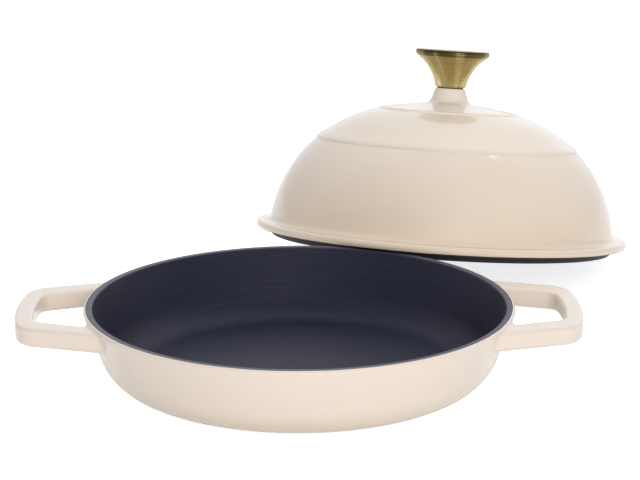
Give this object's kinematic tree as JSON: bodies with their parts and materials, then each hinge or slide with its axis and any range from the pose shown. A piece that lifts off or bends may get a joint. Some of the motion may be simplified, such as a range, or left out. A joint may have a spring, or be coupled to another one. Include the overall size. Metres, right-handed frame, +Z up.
{
  "type": "bread cloche",
  "caption": "Enamelled cast-iron bread cloche: shallow round pan with cast loop handles, and a domed lid with a brass knob, set down leaning on the pan's rim.",
  "frame": {"origin": "centre of the pan's foot, on the table", "axes": "+X runs along the two loop handles, +Y from the pan towards the side where the lid lies, +Z up"},
  "size_m": [0.4165, 0.509, 0.1643],
  "materials": {
    "light_enamelled_iron": "gloss",
    "dark_enamel": "satin",
    "knob_brass": "satin",
    "screw_steel": "satin",
    "gasket_rubber": "matte"
  },
  "bodies": {
    "pan": {"pan_casting": "light_enamelled_iron", "pan_lining": "dark_enamel"},
    "lid": {"lid_casting": "light_enamelled_iron", "lid_lining": "dark_enamel", "knob": "knob_brass", "knob_gasket": "gasket_rubber", "knob_screw": "screw_steel", "screw_washer": "screw_steel"}
  },
  "joints": [
    {"name": "lid_lift", "type": "slide", "parent": "pan", "child": "lid", "axis": [0, 0, 1], "range_m": [0, 0.15]}
  ]
}
